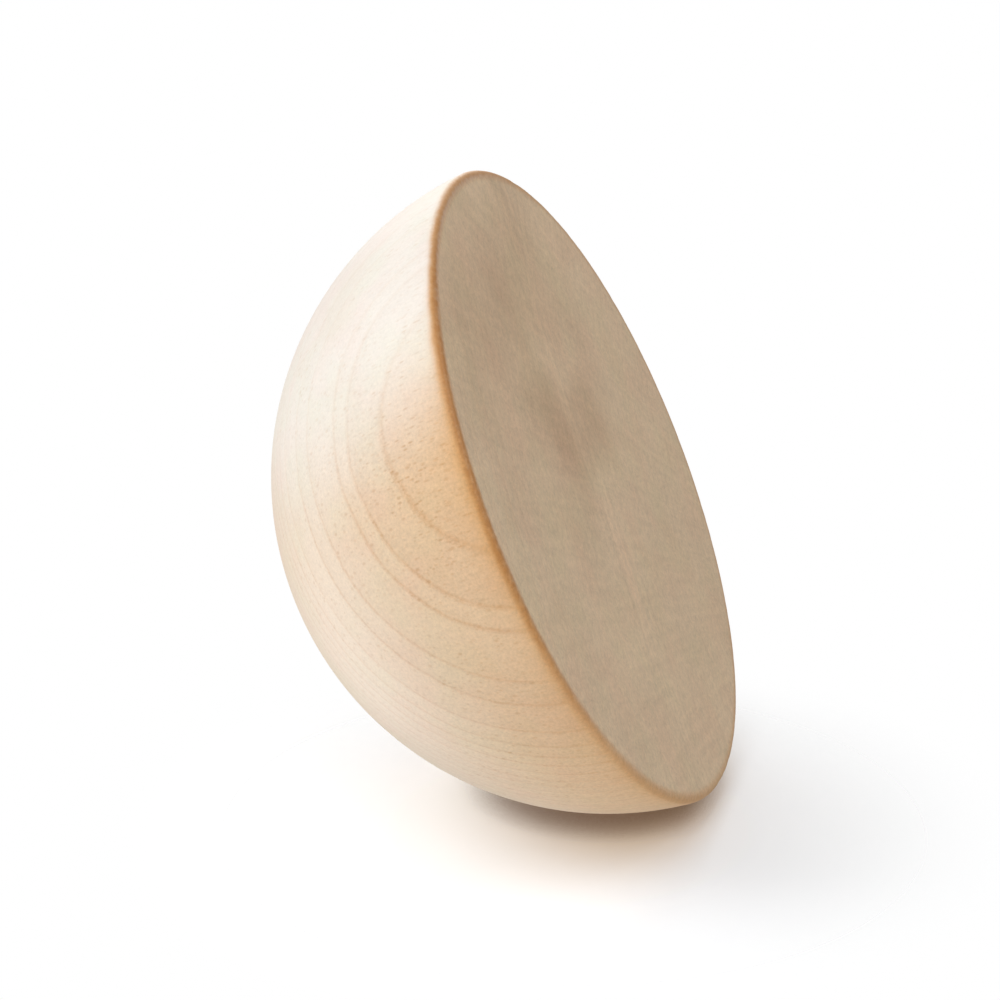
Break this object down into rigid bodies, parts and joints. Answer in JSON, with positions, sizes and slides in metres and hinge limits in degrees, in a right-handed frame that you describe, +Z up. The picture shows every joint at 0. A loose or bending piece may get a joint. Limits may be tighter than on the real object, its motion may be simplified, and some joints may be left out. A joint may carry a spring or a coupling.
{
  "type": "split wooden ball",
  "caption": "Solid half of a turned wooden ball, with a smooth dome, a flat sawn face and an eased edge between them, to glue or rest on its face as a foot, knob blank or craft piece.",
  "frame": {"origin": "centre of the flat sawn face, which is the face that the part rests on", "axes": "+Z up from the sawn face through the dome's pole; X and Y lie in the sawn face"},
  "size_m": [0.0498, 0.0498, 0.0238],
  "materials": {
    "bare_wood": "turned and sanded smooth, left bare, with the edge rubbed darker"
  },
  "bodies": {
    "root": {"half_ball": "bare_wood"}
  },
  "joints": []
}
